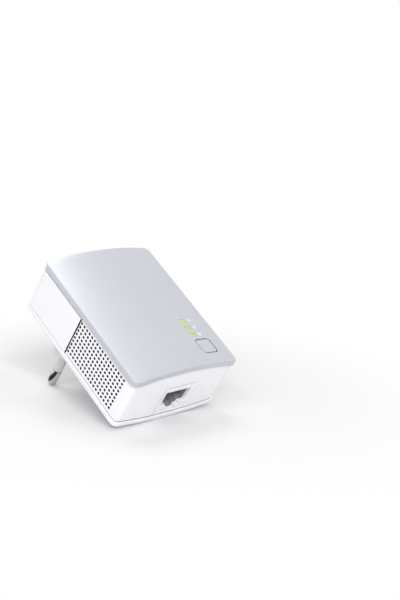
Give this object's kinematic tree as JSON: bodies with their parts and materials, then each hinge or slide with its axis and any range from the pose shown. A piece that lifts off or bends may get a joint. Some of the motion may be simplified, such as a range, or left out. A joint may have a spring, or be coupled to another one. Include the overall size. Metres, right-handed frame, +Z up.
{
  "type": "powerline network adapter",
  "caption": "Plug-in powerline adapter: arched silver face with a button and lights, vented sides, a network socket at one end and a flat two-pin mains plug on the back.",
  "frame": {"origin": "middle of the footprint's bounding box, on the table that the adapter stands on", "axes": "+Z up; +X across the adapter's width, towards its button; +Y horizontally from the port end, which rests on the table, to the raised top end. The adapter leans back on its two plug pins by 32.29 degrees"},
  "size_m": [0.052, 0.074, 0.0588],
  "materials": {
    "silver_paint": "satin silver paint on plastic",
    "white_gloss": "smooth glossy white",
    "nickel": "polished nickel plating",
    "gold": "gold-plated spring wire",
    "sleeve_grey": "smooth grey insulating plastic",
    "black_plastic": "matte black",
    "jack_grey": "matte dark grey",
    "green_light": "clear plastic lit green",
    "board_green": "green solder mask",
    "ferrite": "dull dark grey ferrite",
    "yellow_tape": "yellow tape and moulded cases",
    "copper": "bare copper",
    "steel": "bright steel",
    "capacitor_blue": "blue sleeve"
  },
  "bodies": {
    "adapter": {"back_cover": "white_gloss", "board_connector": "black_plastic", "bridge_rectifier": "black_plastic", "bulk_capacitor_1": "capacitor_blue", "bulk_capacitor_2": "capacitor_blue", "clock_crystal": "steel", "filter_capacitor": "yellow_tape", "front_cover": "silver_paint", "fuse": "black_plastic", "heat_spreader": "steel", "housing": "white_gloss", "jack_contact_1": "gold", "jack_contact_2": "gold", "jack_contact_3": "gold", "jack_contact_4": "gold", "jack_contact_5": "gold", "jack_contact_6": "gold", "jack_contact_7": "gold", "jack_contact_8": "gold", "light_chip_1": "green_light", "light_chip_2": "green_light", "light_chip_3": "green_light", "light_guide": "green_light", "line_choke": "copper", "main_board": "board_green", "main_board_screw_left_high": "steel", "main_board_screw_left_low": "steel", "main_board_screw_right_high": "steel", "main_board_screw_right_low": "steel", "memory_chip": "black_plastic", "network_chip": "black_plastic", "network_jack": "jack_grey", "output_capacitor": "capacitor_blue", "pin_carrier": "black_plastic", "pin_contact_left": "copper", "pin_contact_right": "copper", "pin_sleeve_left": "sleeve_grey", "pin_sleeve_right": "sleeve_grey", "plug_pin_left": "nickel", "plug_pin_right": "nickel", "port_chip": "black_plastic", "port_transformer": "black_plastic", "power_board": "board_green", "power_board_screw_left_high": "steel", "power_board_screw_left_low": "steel", "power_board_screw_right_high": "steel", "power_board_screw_right_low": "steel", "press_switch": "black_plastic", "signal_transformer": "ferrite", "supply_chip": "black_plastic", "transformer_core": "ferrite", "transformer_winding": "yellow_tape", "varistor": "capacitor_blue", "vent_grille_left": "white_gloss", "vent_grille_right": "white_gloss"},
    "button": {"pair_button": "silver_paint"},
    "plunger": {"switch_plunger": "steel"}
  },
  "joints": [
    {"name": "button_press", "type": "slide", "parent": "adapter", "child": "button", "axis": [0, 0.5342, -0.8453], "range_m": [0, 0.0004], "stiffness_N_per_m": 1500},
    {"name": "switch_plunger_press", "type": "slide", "parent": "adapter", "child": "plunger", "axis": [0, 0.5342, -0.8453], "range_m": [0, 0.0004], "stiffness_N_per_m": 500}
  ],
  "couplings": [
    {"joint": "switch_plunger_press", "follows": "button_press", "ratio": 1}
  ]
}
